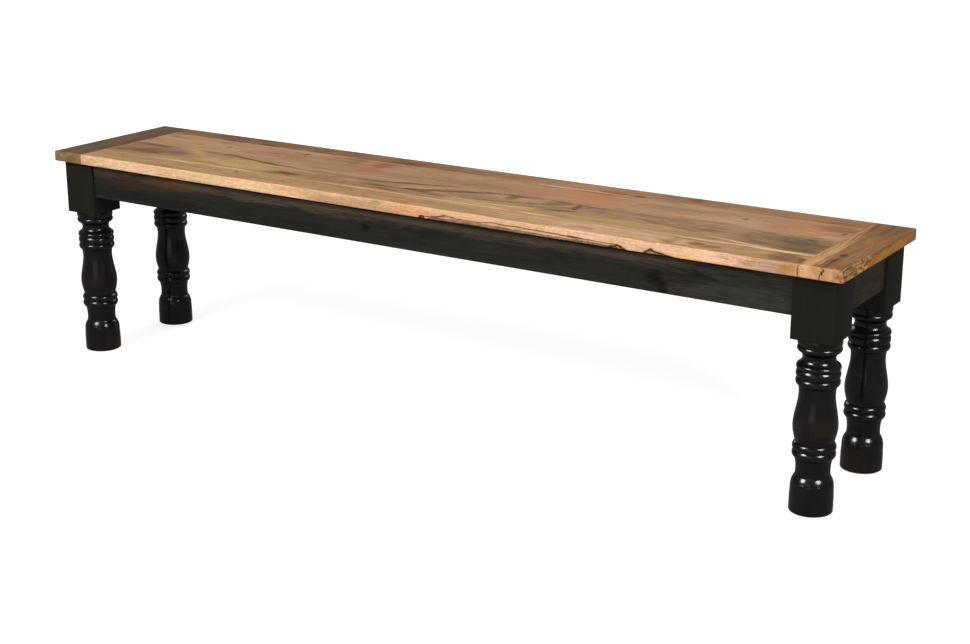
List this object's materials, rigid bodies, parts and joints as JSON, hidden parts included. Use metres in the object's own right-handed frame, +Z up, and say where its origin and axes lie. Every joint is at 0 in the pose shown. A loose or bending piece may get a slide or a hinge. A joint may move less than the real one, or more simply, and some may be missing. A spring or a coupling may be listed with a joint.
{
  "type": "dining bench",
  "caption": "Long backless dining bench: a plank seat between end boards on a black frame of aprons and turned legs with square heads, for seating along a table.",
  "frame": {"origin": "on the floor, under the middle of the seat", "axes": "+X along the bench to the right, +Y from the front to the rear, +Z up"},
  "size_m": [1.829, 0.35, 0.457],
  "materials": {
    "top_wood": "satin oil",
    "black_stain": "satin black stain, grain showing",
    "black_lacquer": "glossy black lacquer",
    "raw_wood": "unfinished",
    "zinc_steel": "zinc plated",
    "glide_nylon": "matte"
  },
  "bodies": {
    "root": {"top_plank_rear": "top_wood", "top_plank_rear_centre": "top_wood", "top_plank_front_centre": "top_wood", "top_plank_front": "top_wood", "end_board_left": "top_wood", "end_board_right": "top_wood", "end_board_dowels_left": "raw_wood", "end_board_dowels_right": "raw_wood", "apron_front": "black_stain", "apron_rear": "black_stain", "apron_left": "black_stain", "apron_right": "black_stain", "leg_front_left": "black_lacquer", "leg_front_right": "black_lacquer", "leg_rear_left": "black_lacquer", "leg_rear_right": "black_lacquer", "corner_block_front_left": "raw_wood", "corner_block_front_right": "raw_wood", "corner_block_rear_left": "raw_wood", "corner_block_rear_right": "raw_wood", "batten_left": "raw_wood", "batten_centre": "raw_wood", "batten_right": "raw_wood", "hanger_bolts": "zinc_steel", "hanger_washers": "zinc_steel", "hanger_nuts": "zinc_steel", "corner_block_screws": "zinc_steel", "top_screws": "zinc_steel", "batten_screws": "zinc_steel", "batten_pocket_screws": "zinc_steel", "foot_glide_front_left": "glide_nylon", "foot_glide_front_right": "glide_nylon", "foot_glide_rear_left": "glide_nylon", "foot_glide_rear_right": "glide_nylon"}
  },
  "joints": []
}
